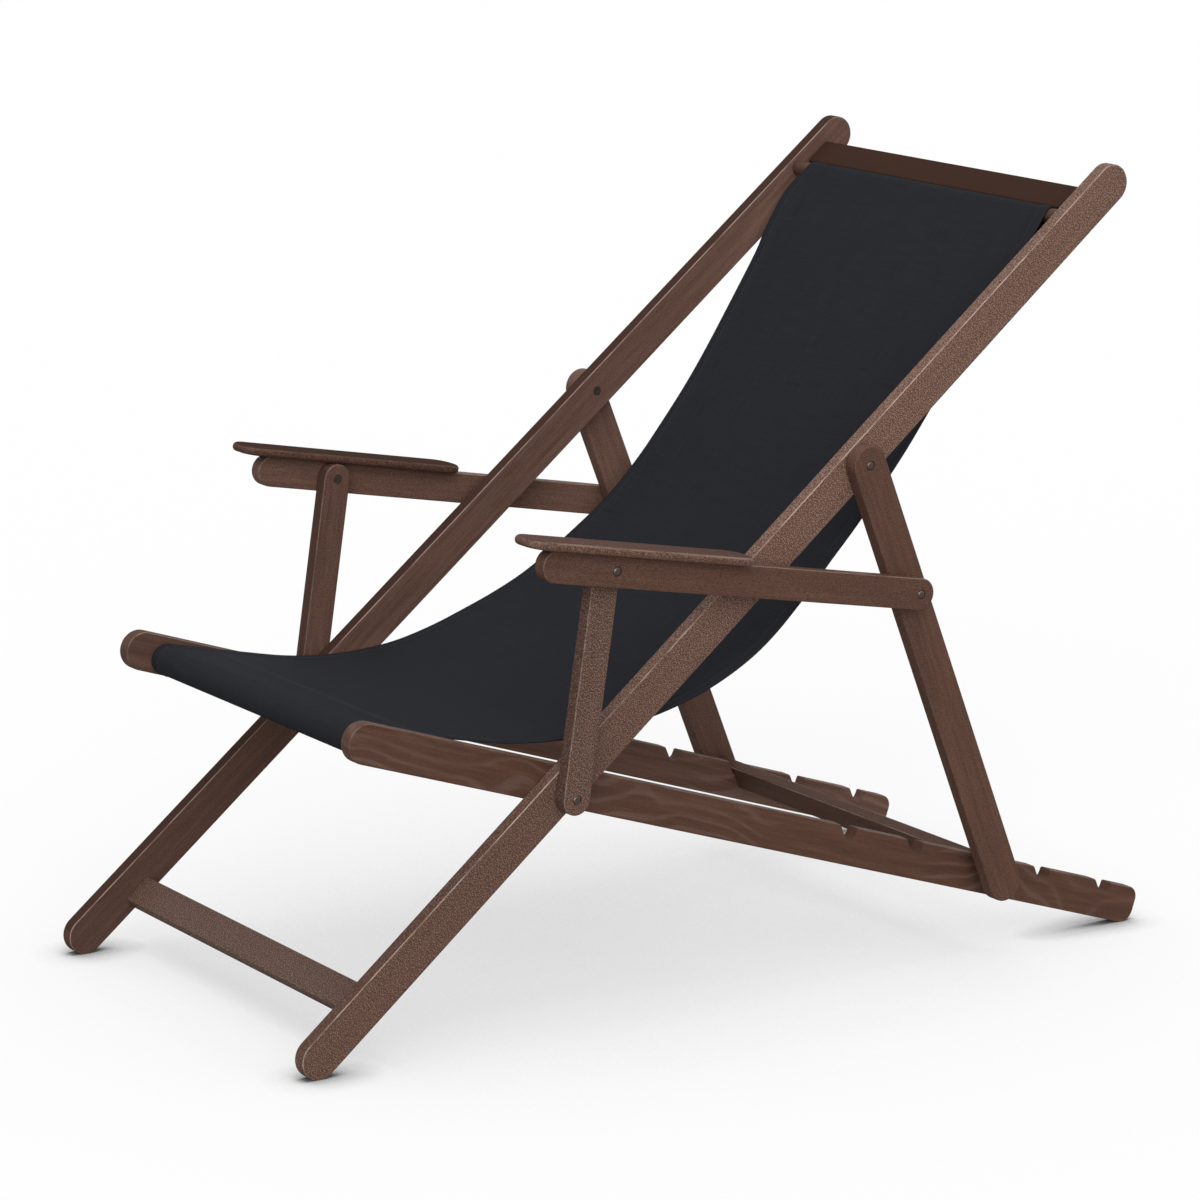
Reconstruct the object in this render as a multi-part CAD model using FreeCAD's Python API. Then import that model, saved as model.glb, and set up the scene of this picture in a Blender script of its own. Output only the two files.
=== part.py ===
import FreeCAD, Part
import math
import os

os.makedirs("parts", exist_ok=True)

# Driving dimensions of the chair, in mm and degrees
timber = 17.0
layer_gap = 1.0
arris = 2.0
rail_width = 44.6
arm_width = 36.0
half_inside = 244.0
foot_flat = 0.5
cut_past = 1.0
tiny = 0.001

# Long rails, which carry the back
long_length = 1400.0
long_lean = 40.1
main_pivot_along = 391.7
main_pivot_below = 8.1
prop_pivot_along = 898.2

# Seat rails, which carry the notches
seat_front_reach = 281.0
seat_rear_reach = 888.0
rear_top_round = 14.0
rear_foot_round = 17.0
notch_count = 5
notch_first = 419.0
notch_pitch = 103.0
notch_depth = 15.0
notch_floor_radius = 8.9
notch_front_angle = 48.0
notch_rear_angle = 85.0
notch_swing_angle = 40.0
notch_lip = 1.5
notch_in_use = 2

# Prop frame, which stands in the notches
prop_tail = 21.5
crossbar_width = 31.0
crossbar_above = 5.5
tongue_drop = 8.5
crossbar_play = 0.35
arm_hole_on_prop = 163.2

# Armrests and their front posts
post_length = 252.7
post_lean = 83.3
post_play = 0.5
arm_front_reach = 97.0
pad_width = 50.0
pad_thick = 10.0
pad_front_reach = 125.0
pad_rear_reach = 177.0
pad_corner = 20.0
pad_edge = 4.6
seat_on_rail = 0.05

# Cross members between the rails
board_thick = 15.0
board_width = 36.0
head_rail_along = 1321.0
head_rail_off = -2.5
stretcher_along = 79.5
stretcher_off = -12.5
tenon_length = 10.0
tenon_thick = 9.0
tenon_width = 24.0
joint_play = 0.1
front_bar_back = 50.5
front_bar_off = 5.0
front_bar_radius = 15.5
front_bar_tenon = 9.0
crossbar_tenon = 5.0
head_dowel_along = 1286.0
head_dowel_off = 8.0
head_dowel_radius = 9.0

# Hanging seat cloth
cloth_thick = 2.0
cloth_play = 0.3
cloth_front_slope = -11.3
cloth_back_slope = 54.9
cloth_hollow_radius = 522.0

# Half the cloth's width at distances behind the front bar: slack in the hollow, drawn in up the back
cloth_widths = (
    (150.0, 223.5), (300.0, 227.0), (360.0, 232.5), (410.0, 234.3), (450.0, 233.3), (490.0, 230.0),
    (560.0, 221.0), (605.0, 214.0), (640.0, 212.5), (735.0, 213.0), (780.0, 214.0), (815.0, 217.5),
    (845.0, 220.0), (862.0, 221.5), (882.0, 219.5))

# Pivot hardware
bolt_radius = 3.0
barrel_radius = 4.0
running_play = 0.05
head_radius = 4.75
head_height = 2.5
head_round = 2.2
recess_radius = 5.5
recess_depth = 2.2
barrel_length = 9.0
barrel_bore = 8.0
flange_sunk = 0.3
bolt_tip_short = 3.7
socket_flats = 4.0
socket_depth = 2.0
washer_radius = 9.0
washer_thick = 0.6
dowel_radius = 4.0
dowel_length = 16.0
dowel_spread = 75.0

# Layers across the chair, measured from its middle plane
long_inner = half_inside
long_outer = long_inner + timber
seat_outer = long_inner - layer_gap
seat_inner = seat_outer - timber
leg_inner = long_outer + layer_gap
leg_outer = leg_inner + timber
arm_inner = leg_outer + layer_gap
arm_outer = arm_inner + timber

half_rail = rail_width / 2
half_arm = arm_width / 2


class Line:
    # A straight line in the side view: along it, and off it to its left
    def __init__(self, y, z, angle):
        turn = math.radians(angle)
        self.y = y
        self.z = z
        self.angle = angle
        self.dy = math.cos(turn)
        self.dz = math.sin(turn)

    def at(self, along, off=0.0, x=0.0):
        y = self.y + along * self.dy - off * self.dz
        z = self.z + along * self.dz + off * self.dy
        return FreeCAD.Vector(x, y, z)


def seat_tilt(pivot_height):
    # The tilt that sets the rounded rear foot on the floor
    reach = seat_rear_reach - rear_foot_round
    rise = main_pivot_below - half_rail + rear_foot_round
    drop = pivot_height - rear_foot_round + foot_flat
    return math.degrees(math.asin(drop / math.hypot(reach, rise)) + math.atan2(rise, reach))


def side_lines(front):
    # The lines of the long rail and the seat rail, with the foot centre at front
    long_line = Line(front, half_rail - foot_flat, long_lean)
    pivot = long_line.at(main_pivot_along, -main_pivot_below)
    seat_line = Line(pivot.y, pivot.z, -seat_tilt(pivot.z))
    return long_line, seat_line


def rear_most(seat_line):
    corner = seat_line.at(seat_rear_reach - rear_top_round, seat_top - rear_top_round)
    return corner.y + rear_top_round


# The rail centre line lies above the main pivot by the pivot's offset
seat_top = main_pivot_below + half_rail
seat_bottom = main_pivot_below - half_rail

# Set the chair so that its box is centred on the origin
trial_seat = side_lines(0.0)[1]
long_line, seat_line = side_lines((half_rail - rear_most(trial_seat)) / 2)
main_pivot = seat_line.at(0.0)
prop_pivot = long_line.at(prop_pivot_along)

# The prop leans so that its crossbar lies in the notch in use
notch_middle = notch_first + notch_in_use * notch_pitch
crossbar_point = seat_line.at(notch_middle, seat_top - notch_depth + tongue_drop + crossbar_play)
prop_reach = crossbar_point - prop_pivot
crossbar_along = prop_reach.Length
prop_line = Line(prop_pivot.y, prop_pivot.z, math.degrees(math.atan2(prop_reach.z, prop_reach.y)))

post_line = Line(main_pivot.y, main_pivot.z, post_lean)
arm_front = post_line.at(post_length)
arm_rear = prop_line.at(arm_hole_on_prop)
arm_reach = arm_rear - arm_front
arm_length = arm_reach.Length
arm_line = Line(arm_front.y, arm_front.z, math.degrees(math.atan2(arm_reach.z, arm_reach.y)))


def prism(edges, x, length):
    face = Part.Face(Part.Wire(edges))
    face.translate(FreeCAD.Vector(x, 0, 0))
    return face.extrude(FreeCAD.Vector(length, 0, 0))


def rod(centre, radius, x, length):
    return Part.makeCylinder(
        radius, length, FreeCAD.Vector(x, centre.y, centre.z), FreeCAD.Vector(1, 0, 0))


def ease(solid, radius):
    # Round over the two outlines of a board that lies flat against the side view
    outline = [edge for edge in solid.Edges if edge.BoundBox.XLength < tiny]
    return solid.makeFillet(radius, outline)


def mirrored(shape):
    return shape.mirror(FreeCAD.Vector(0, 0, 0), FreeCAD.Vector(1, 0, 0))


def round_ended(line, start, end, half, x):
    # A bar with half-round ends about the two named points of its line
    low_start = line.at(start, -half)
    low_end = line.at(end, -half)
    top_end = line.at(end, half)
    top_start = line.at(start, half)
    edges = [
        Part.LineSegment(low_start, low_end).toShape(),
        Part.Arc(low_end, line.at(end + half), top_end).toShape(),
        Part.LineSegment(top_end, top_start).toShape(),
        Part.Arc(top_start, line.at(start - half), low_start).toShape(),
    ]
    return ease(prism(edges, x, timber), arris)


def block(line, along, off, width, thick, x, length):
    # A board across the chair: its width along the line, its thickness off the line
    corners = [
        line.at(along - width / 2, off - thick / 2),
        line.at(along + width / 2, off - thick / 2),
        line.at(along + width / 2, off + thick / 2),
        line.at(along - width / 2, off + thick / 2),
    ]
    edges = []
    for i in range(4):
        edges.append(Part.LineSegment(corners[i - 1], corners[i]).toShape())
    return prism(edges, x, length)


def bored(solid, centre, inner, outer, radius):
    return solid.cut(rod(centre, radius, inner - cut_past, outer - inner + 2 * cut_past))


def recess(centre, face, outward):
    # The flat-bottomed recess of a bolt or nut head, sunk into a face of the left side
    start = face - recess_depth if outward else face - cut_past
    return rod(centre, recess_radius, start, recess_depth + cut_past)


def barrel_hole(centre, inner):
    return rod(centre, barrel_radius + running_play, inner, recess_depth + barrel_length + joint_play)


def below_floor(y, inner):
    # Everything under the floor plane near one foot of the left side
    corner = FreeCAD.Vector(inner - cut_past, y - rail_width, -rail_width)
    return Part.makeBox(timber + 2 * cut_past, 2 * rail_width, rail_width, corner)


def long_rail():
    rail = round_ended(long_line, 0, long_length - rail_width, half_rail, long_inner)
    rail = bored(rail, main_pivot, long_inner, long_outer, bolt_radius + running_play)
    rail = bored(rail, prop_pivot, long_inner, long_outer, bolt_radius + running_play)
    rail = rail.cut(recess(prop_pivot, long_inner, False))
    rail = rail.cut(barrel_hole(prop_pivot, long_inner))
    deep = tenon_length + joint_play
    for along, off in ((head_rail_along, head_rail_off), (stretcher_along, stretcher_off)):
        rail = rail.cut(block(
            long_line, along, off, tenon_width + 2 * joint_play, tenon_thick + 2 * joint_play,
            long_inner - cut_past, deep + cut_past))
    dowel = long_line.at(head_dowel_along, head_dowel_off)
    rail = rail.cut(rod(
        dowel, head_dowel_radius + joint_play, long_inner - cut_past, deep + cut_past))
    return rail.cut(below_floor(long_line.y, long_inner))


def notch_wall(middle, angle, side):
    # One wall of a notch: its foot on the round floor, its rounded lip and the end past the rail's top
    turn = math.radians(angle)
    foot = notch_floor_radius * math.sin(turn)
    foot_off = seat_top - notch_depth + notch_floor_radius * (1 - math.cos(turn))
    lip = foot + (seat_top - foot_off) / math.tan(turn) + notch_lip * math.tan(turn / 2)
    points = [seat_line.at(middle + side * foot, foot_off)]
    for lean in (turn, turn / 2, 0):
        along = lip - notch_lip * math.sin(lean)
        off = seat_top - notch_lip * (1 - math.cos(lean))
        points.append(seat_line.at(middle + side * along, off))
    points.append(seat_line.at(middle + side * lip, seat_top + cut_past))
    return points


def notch(middle, rear_angle):
    # One notch: a slanting front wall, a round floor and a rear wall
    front = notch_wall(middle, notch_front_angle, -1)
    rear = notch_wall(middle, rear_angle, 1)
    edges = [
        Part.LineSegment(front[4], front[3]).toShape(),
        Part.Arc(front[3], front[2], front[1]).toShape(),
        Part.LineSegment(front[1], front[0]).toShape(),
        Part.Arc(front[0], seat_line.at(middle, seat_top - notch_depth), rear[0]).toShape(),
        Part.LineSegment(rear[0], rear[1]).toShape(),
        Part.Arc(rear[1], rear[2], rear[3]).toShape(),
        Part.LineSegment(rear[3], rear[4]).toShape(),
        Part.LineSegment(rear[4], front[4]).toShape(),
    ]
    return prism(edges, seat_inner - cut_past, timber + 2 * cut_past)


def front_bar_centre():
    return seat_line.at(front_bar_back - seat_front_reach, front_bar_off)


def seat_rail():
    front = half_rail - seat_front_reach
    rear = seat_rear_reach
    middle = main_pivot_below
    slope = math.sqrt(0.5)
    top_in = rear_top_round * (1 - slope)
    foot_in = rear_foot_round * (1 - slope)
    points = [
        seat_line.at(front, seat_bottom),
        seat_line.at(rear - rear_foot_round, seat_bottom),
        seat_line.at(rear - foot_in, seat_bottom + foot_in),
        seat_line.at(rear, seat_bottom + rear_foot_round),
        seat_line.at(rear, seat_top - rear_top_round),
        seat_line.at(rear - top_in, seat_top - top_in),
        seat_line.at(rear - rear_top_round, seat_top),
        seat_line.at(front, seat_top),
        seat_line.at(front - half_rail, middle),
    ]
    edges = [
        Part.LineSegment(points[0], points[1]).toShape(),
        Part.Arc(points[1], points[2], points[3]).toShape(),
        Part.LineSegment(points[3], points[4]).toShape(),
        Part.Arc(points[4], points[5], points[6]).toShape(),
        Part.LineSegment(points[6], points[7]).toShape(),
        Part.Arc(points[7], points[8], points[0]).toShape(),
    ]
    rail = ease(prism(edges, seat_inner, timber), arris)
    # The notch in use slopes to the rear, so that the prop swings out of it by itself
    for i in range(notch_count):
        rear_angle = notch_swing_angle if i == notch_in_use else notch_rear_angle
        rail = rail.cut(notch(notch_first + i * notch_pitch, rear_angle))
    rail = bored(rail, main_pivot, seat_inner, seat_outer, bolt_radius + running_play)
    rail = rail.cut(recess(main_pivot, seat_inner, False))
    rail = rail.cut(barrel_hole(main_pivot, seat_inner))
    deep = tenon_length + joint_play
    rail = rail.cut(rod(
        front_bar_centre(), front_bar_tenon + joint_play, seat_inner - cut_past, deep + cut_past))
    return rail.cut(below_floor(points[1].y, seat_inner))


def round_bar(centre, radius, tenon, half):
    # A round bar across the chair with a thinner round tenon at each end
    bar = rod(centre, radius, -half, 2 * half)
    reach = half + tenon_length
    return bar.fuse(rod(centre, tenon, -reach, 2 * reach)).removeSplitter()


def ease_across(board, half):
    # Round over the edges of a board that run across the chair for more than half its length
    long_edges = [edge for edge in board.Edges if edge.BoundBox.XLength > half]
    return board.makeFillet(arris, long_edges)


def cross_board(along, off):
    # A flat board between the long rails with a tenon at each end
    board = block(long_line, along, off, board_width, board_thick, -long_inner, 2 * long_inner)
    board = ease_across(board, long_inner)
    reach = long_inner + tenon_length
    return board.fuse(block(long_line, along, off, tenon_width, tenon_thick, -reach, 2 * reach))


def head_dowel():
    reach = long_inner + tenon_length
    centre = long_line.at(head_dowel_along, head_dowel_off)
    return rod(centre, head_dowel_radius, -reach, 2 * reach)


def prop_crossbar():
    # A board between the seat rails, cut down at its ends to tongues that lie in the notches
    side = board_thick / 2
    top = crossbar_along - crossbar_above
    low = crossbar_along + tongue_drop - side
    edges = [
        Part.LineSegment(prop_line.at(top, side), prop_line.at(top, -side)).toShape(),
        Part.LineSegment(prop_line.at(top, -side), prop_line.at(low, -side)).toShape(),
        Part.Arc(prop_line.at(low, -side), prop_line.at(low + side), prop_line.at(low, side)).toShape(),
        Part.LineSegment(prop_line.at(low, side), prop_line.at(top, side)).toShape(),
    ]
    tongues = prism(edges, -leg_inner, 2 * leg_inner)
    half = seat_inner - layer_gap
    board = block(
        prop_line, top + crossbar_width / 2, 0, crossbar_width, board_thick, -half, 2 * half)
    bar = ease_across(board.fuse(tongues).removeSplitter(), half)
    reach = leg_inner + tenon_length
    return bar.fuse(rod(crossbar_point, crossbar_tenon, -reach, 2 * reach))


def prop_leg():
    leg = round_ended(prop_line, 0, crossbar_along + prop_tail, half_rail, leg_inner)
    for centre in (prop_pivot, arm_rear):
        leg = bored(leg, centre, leg_inner, leg_outer, bolt_radius + running_play)
    leg = leg.cut(recess(prop_pivot, leg_outer, True))
    leg = leg.cut(recess(arm_rear, leg_inner, False))
    leg = leg.cut(barrel_hole(arm_rear, leg_inner))
    deep = tenon_length + joint_play
    return leg.cut(rod(
        crossbar_point, crossbar_tenon + joint_play, leg_inner - cut_past, deep + cut_past))


def arm_post():
    post = round_ended(post_line, 0, post_length, half_arm - post_play, leg_inner)
    post = bored(post, main_pivot, leg_inner, leg_outer, bolt_radius + running_play)
    post = post.cut(recess(main_pivot, leg_outer, True))
    post = bored(post, arm_front, leg_inner, leg_outer, bolt_radius + running_play)
    post = post.cut(recess(arm_front, leg_inner, False))
    return post.cut(barrel_hole(arm_front, leg_inner))


def pad_dowel_spots():
    middle = (pad_rear_reach - pad_front_reach) / 2
    return (middle - dowel_spread, middle + dowel_spread)


def pad_dowel(along, radius, length):
    # A dowel stood upright in the arm rail, half its length in the pad's thickness
    middle = (arm_inner + arm_outer) / 2
    top = half_arm + pad_thick / 2 + (length - dowel_length)
    foot = arm_line.at(along, top - length, middle)
    head = arm_line.at(along, top, middle)
    return Part.makeCylinder(radius, length, foot, head - foot)


def arm_rail():
    front = half_arm - arm_front_reach
    rail = round_ended(arm_line, front, arm_length, half_arm, arm_inner)
    for centre in (arm_front, arm_rear):
        rail = bored(rail, centre, arm_inner, arm_outer, bolt_radius + running_play)
        rail = rail.cut(recess(centre, arm_outer, True))
    for along in pad_dowel_spots():
        rail = rail.cut(pad_dowel(along, dowel_radius + joint_play, dowel_length + joint_play))
    return rail


def arm_pad():
    # A thin board with rounded corners in plan and rounded edges, on top of the arm rail
    middle = (arm_inner + arm_outer) / 2
    length = pad_front_reach + pad_rear_reach
    pad = Part.makeBox(pad_width, length, pad_thick)
    corners = [edge for edge in pad.Edges if edge.BoundBox.ZLength > pad_thick / 2]
    pad = pad.makeFillet(pad_corner, corners)
    rims = [edge for edge in pad.Edges if edge.BoundBox.ZLength < tiny]
    pad = pad.makeFillet(pad_edge, rims)
    pad.rotate(FreeCAD.Vector(0, 0, 0), FreeCAD.Vector(1, 0, 0), arm_line.angle)
    pad.translate(arm_line.at(-pad_front_reach, half_arm + seat_on_rail, middle - pad_width / 2))
    for along in pad_dowel_spots():
        pad = pad.cut(pad_dowel(along, dowel_radius + joint_play, dowel_length + joint_play))
    return pad


def arm_pad_dowels():
    return [pad_dowel(along, dowel_radius, dowel_length) for along in pad_dowel_spots()]


def bolt(centre, outer, tip):
    # A round-headed bolt of the left side, its head sunk in the outer face
    seat = outer - recess_depth
    head = rod(centre, head_radius, seat, head_height)
    rim = [edge for edge in head.Edges if edge.BoundBox.XMin > seat + head_height - tiny]
    head = head.makeFillet(head_round, rim)
    return head.fuse(rod(centre, bolt_radius, tip, seat - tip))


def nut(centre, inner, bore_depth):
    # A flanged barrel nut of the left side with a six-sided key socket, sunk in the inner face
    flange_end = inner + recess_depth - joint_play
    flange_start = inner + flange_sunk
    barrel_end = inner + recess_depth + barrel_length
    solid = rod(centre, head_radius, flange_start, flange_end - flange_start)
    solid = solid.fuse(rod(centre, barrel_radius, flange_start, barrel_end - flange_start))
    corner = socket_flats / math.sqrt(3)
    points = []
    for i in range(7):
        turn = math.radians(60 * i)
        points.append(FreeCAD.Vector(
            0, centre.y + corner * math.cos(turn), centre.z + corner * math.sin(turn)))
    key = Part.Face(Part.makePolygon(points))
    key.translate(FreeCAD.Vector(inner, 0, 0))
    solid = solid.cut(key.extrude(FreeCAD.Vector(socket_depth, 0, 0)))
    if bore_depth > 0:
        solid = solid.cut(rod(
            centre, bolt_radius + running_play, barrel_end - bore_depth, bore_depth + cut_past))
    return solid


def washer(centre, low):
    start = low + (layer_gap - washer_thick) / 2
    ring = rod(centre, washer_radius, start, washer_thick)
    return bored(ring, centre, start, start + washer_thick, bolt_radius + 2 * running_play)


def ring_turn(radius):
    # How far past its tangent the cloth runs before it leaves the outside of a loop
    return math.sqrt((radius + cloth_thick) ** 2 - radius ** 2)


def cloth():
    # The seat cloth: a loop round the front bar, a hollow seat, a straight back and a top loop
    half = cloth_thick / 2
    front_in = front_bar_radius + cloth_play
    top_in = head_dowel_radius + cloth_play
    front_centre = front_bar_centre()
    top_centre = long_line.at(head_dowel_along, head_dowel_off)
    seat = Line(front_centre.y, front_centre.z, cloth_front_slope)
    back = Line(top_centre.y, top_centre.z, cloth_back_slope)
    seat_lift = front_in + half
    back_lift = top_in + half
    # Where the two straight stretches would meet, measured along each
    turn = math.radians(cloth_back_slope - cloth_front_slope)
    gap = back.at(0, back_lift) - seat.at(0, seat_lift)
    seat_run = (gap.y * back.dz - gap.z * back.dy) / math.sin(turn)
    back_run = (gap.y * seat.dz - gap.z * seat.dy) / math.sin(turn)
    cut_back = cloth_hollow_radius * math.tan(turn / 2)
    seat_end = seat_run - cut_back
    back_start = back_run + cut_back
    hollow = seat.at(seat_end, seat_lift + cloth_hollow_radius)
    lowest = math.radians((cloth_front_slope + cloth_back_slope) / 2 - 90)

    def hollow_at(radius):
        return FreeCAD.Vector(
            0, hollow.y + radius * math.cos(lowest), hollow.z + radius * math.sin(lowest))

    front_out = front_in + cloth_thick
    top_out = top_in + cloth_thick
    front_leave = ring_turn(front_in)
    top_leave = ring_turn(top_in)
    edges = [
        Part.LineSegment(seat.at(0, front_out), seat.at(seat_end, front_out)).toShape(),
        Part.Arc(
            seat.at(seat_end, front_out), hollow_at(cloth_hollow_radius - half),
            back.at(back_start, top_out)).toShape(),
        Part.LineSegment(back.at(back_start, top_out), back.at(0, top_out)).toShape(),
        Part.Arc(
            back.at(0, top_out), back.at(top_out), back.at(-top_leave, top_in)).toShape(),
        Part.LineSegment(back.at(-top_leave, top_in), back.at(back_start, top_in)).toShape(),
        Part.Arc(
            back.at(back_start, top_in), hollow_at(cloth_hollow_radius + half),
            seat.at(seat_end, front_in)).toShape(),
        Part.LineSegment(seat.at(seat_end, front_in), seat.at(front_leave, front_in)).toShape(),
        Part.Arc(
            seat.at(front_leave, front_in), seat.at(-front_out), seat.at(0, front_out)).toShape(),
    ]
    widest = max(half_width for behind, half_width in cloth_widths)
    reach = widest + cut_past
    strip = prism(edges, -reach, 2 * reach)
    for centre, radius in ((front_centre, front_in), (top_centre, top_in)):
        strip = strip.cut(rod(centre, radius, -reach, 2 * reach))
    return strip.common(cloth_plan(front_centre.y))


def cloth_plan(front_bar_y):
    # The cloth seen from above: even at both ends, and as wide in between as the list gives
    corners = [(cloth_widths[0][1], front_bar_y - rail_width)]
    for behind, half_width in cloth_widths:
        corners.append((half_width, front_bar_y + behind))
    corners.append((cloth_widths[-1][1], long_line.at(long_length).y))
    points = [FreeCAD.Vector(x, y, 0) for x, y in corners]
    points = points + [FreeCAD.Vector(-x, y, 0) for x, y in reversed(corners)]
    face = Part.Face(Part.makePolygon(points + points[:1]))
    return face.extrude(FreeCAD.Vector(0, 0, long_length))


def save(name, solids):
    shape = solids[0] if len(solids) == 1 else Part.makeCompound(solids)
    shape.exportStep("parts/" + name + ".step")


def save_pair(name, solid):
    save(name + "_left", [solid])
    save(name + "_right", [mirrored(solid)])


def save_both(name, solids):
    # One node for the alike fasteners of both sides
    save(name, solids + [mirrored(solid) for solid in solids])


save_pair("long_rail", long_rail())
save_pair("seat_rail", seat_rail())
save_pair("prop_leg", prop_leg())
save_pair("arm_post", arm_post())
save_pair("arm_rail", arm_rail())
save_pair("arm_pad", arm_pad())
save("head_rail", [cross_board(head_rail_along, head_rail_off)])
save("foot_stretcher", [cross_board(stretcher_along, stretcher_off)])
save("head_dowel", [head_dowel()])
save("front_bar", [round_bar(front_bar_centre(), front_bar_radius, front_bar_tenon, seat_inner)])
save("prop_crossbar", [prop_crossbar()])
save("sling", [cloth()])

# The main bolt ties post, long rail and seat rail; the prop and front arm bolts tie two pieces each
save_both("main_bolts", [bolt(main_pivot, leg_outer, seat_inner + bolt_tip_short)])
save_both("main_nuts", [nut(main_pivot, seat_inner, barrel_bore)])
save_both("main_washers", [washer(main_pivot, seat_outer), washer(main_pivot, long_outer)])
save_both("prop_bolts", [bolt(prop_pivot, leg_outer, long_inner + bolt_tip_short)])
save_both("prop_nuts", [nut(prop_pivot, long_inner, barrel_bore)])
save_both("prop_washers", [washer(prop_pivot, long_outer)])
save_pair("arm_front_bolt", bolt(arm_front, arm_outer, leg_inner + bolt_tip_short))
save_pair("arm_front_nut", nut(arm_front, leg_inner, barrel_bore))
save_pair("arm_front_washer", washer(arm_front, leg_outer))

# The rear arm pivot is open: its bolt ends inside the arm and its nut inside the prop leg
save_pair("arm_rear_bolt", bolt(arm_rear, arm_outer, arm_inner + joint_play))
save_both("arm_rear_nuts", [nut(arm_rear, leg_inner, 0)])
pegs = arm_pad_dowels()
save("arm_pad_dowels_left", pegs)
save("arm_pad_dowels_right", [mirrored(peg) for peg in pegs])
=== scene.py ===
# %% [markdown]
# # A folding deck chair with armrests
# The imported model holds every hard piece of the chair: rails, posts, arms, bars and bolts, each a mesh
# of its own that moves with its body. The chair could be modelled afresh in Blender, but the fixed frame
# keeps each size and pivot true. So this lesson only adds what the frame lacks: finishes, the hanging
# cloth, light and a camera.

# %% Load the chair's frame
import math

import bpy
from mathutils import Matrix, Vector


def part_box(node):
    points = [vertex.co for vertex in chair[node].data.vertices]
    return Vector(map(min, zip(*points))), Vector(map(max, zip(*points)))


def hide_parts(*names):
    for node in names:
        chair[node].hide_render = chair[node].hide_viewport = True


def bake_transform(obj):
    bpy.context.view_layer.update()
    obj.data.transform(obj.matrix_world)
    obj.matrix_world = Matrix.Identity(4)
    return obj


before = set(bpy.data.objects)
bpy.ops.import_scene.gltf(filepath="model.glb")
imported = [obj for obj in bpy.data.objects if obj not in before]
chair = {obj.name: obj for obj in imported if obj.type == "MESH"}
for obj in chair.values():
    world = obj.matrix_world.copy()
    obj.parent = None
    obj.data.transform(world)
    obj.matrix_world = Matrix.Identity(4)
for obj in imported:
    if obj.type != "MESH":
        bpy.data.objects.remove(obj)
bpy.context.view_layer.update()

print("pieces in the frame:", len(chair))

# %% [markdown]
# ## Camera
# The picture was taken from the sitter's left, a little above seat height, with a long lens. A camera
# can be aimed by a tracking constraint, but here its three axes are worked out from two angles and a
# small roll, because the edges of the long rails show the viewing direction well.

# %% Camera at the picture's viewing angle
camera_place = Vector((3.89575, -2.84733, 1.47911))
camera_azimuth = math.radians(54.246)
camera_elevation = math.radians(12.569)
camera_roll = math.radians(1.98)
camera_lens = 129.13
camera_sensor = 36.0


def new_object(name, data):
    made = bpy.data.objects.new(name, data)
    bpy.context.scene.collection.objects.link(made)
    return made


across = Vector((math.cos(camera_azimuth), math.sin(camera_azimuth), 0.0))
ahead = Vector((-math.sin(camera_azimuth), math.cos(camera_azimuth), 0.0))
backward = Vector((0, 0, math.sin(camera_elevation))) - ahead * math.cos(camera_elevation)
upward = backward.cross(across)
camera_right = across * math.cos(camera_roll) + upward * math.sin(camera_roll)
camera_up = backward.cross(camera_right)
camera_axes = Matrix((camera_right, camera_up, backward)).transposed()

camera_data = bpy.data.cameras.new("picture_camera")
camera_data.lens = camera_lens
camera_data.sensor_width = camera_sensor
camera = new_object("picture_camera", camera_data)
camera.matrix_world = Matrix.Translation(camera_place) @ camera_axes.to_4x4()
bpy.context.scene.camera = camera
bpy.context.scene.view_settings.view_transform = "Standard"
print("camera looks along", [round(-v, 3) for v in backward])

# %% [markdown]
# ## Node helpers
# Shader trees are built from many small nodes, and wiring each one by hand hides the idea behind them. A
# few helpers with plain names keep the later cells short: each makes one node, feeds it sockets or plain
# numbers, and hands back the output that the next step needs.

# %% Helpers that make and feed nodes
def add(tree, kind, **settings):
    made = tree.nodes.new("ShaderNode" + kind)
    for name, value in settings.items():
        setattr(made, name, value)
    return made


def feed(tree, socket, value):
    if isinstance(value, bpy.types.NodeSocket):
        tree.links.new(value, socket)
    else:
        socket.default_value = value


def maths(tree, operation, first, second=0.0, clamp=False):
    made = add(tree, "Math", operation=operation, use_clamp=clamp)
    feed(tree, made.inputs[0], first)
    feed(tree, made.inputs[1], second)
    return made.outputs[0]


def times(tree, first, second, clamp=False):
    return maths(tree, "MULTIPLY", first, second, clamp)


def plus(tree, first, second, clamp=False):
    return maths(tree, "ADD", first, second, clamp)


def one_minus(tree, value):
    return maths(tree, "SUBTRACT", 1.0, value)


print("helpers for nodes and sums ready")

# %% Helpers for patterns, colours and paints
def ramp(tree, value, low, high):
    made = add(tree, "MapRange", interpolation_type="SMOOTHSTEP")
    feed(tree, made.inputs["Value"], value)
    feed(tree, made.inputs["From Min"], low)
    feed(tree, made.inputs["From Max"], high)
    return made.outputs["Result"]


def stretched(tree, vector, factors):
    made = add(tree, "VectorMath", operation="MULTIPLY")
    feed(tree, made.inputs[0], vector)
    made.inputs[1].default_value = factors
    return made.outputs[0]


def noise(tree, vector, scale, detail=2.0, roughness=0.5):
    made = add(tree, "TexNoise")
    feed(tree, made.inputs["Vector"], vector)
    made.inputs["Scale"].default_value = scale
    made.inputs["Detail"].default_value = detail
    made.inputs["Roughness"].default_value = roughness
    return made.outputs[0]


def tint(tree, factor, first, second):
    made = add(tree, "Mix", data_type="RGBA")
    feed(tree, made.inputs[0], factor)
    feed(tree, made.inputs[6], first)
    feed(tree, made.inputs[7], second)
    return made.outputs[2]


def parts_of(tree, vector):
    made = add(tree, "SeparateXYZ")
    feed(tree, made.inputs[0], vector)
    return made.outputs


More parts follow.
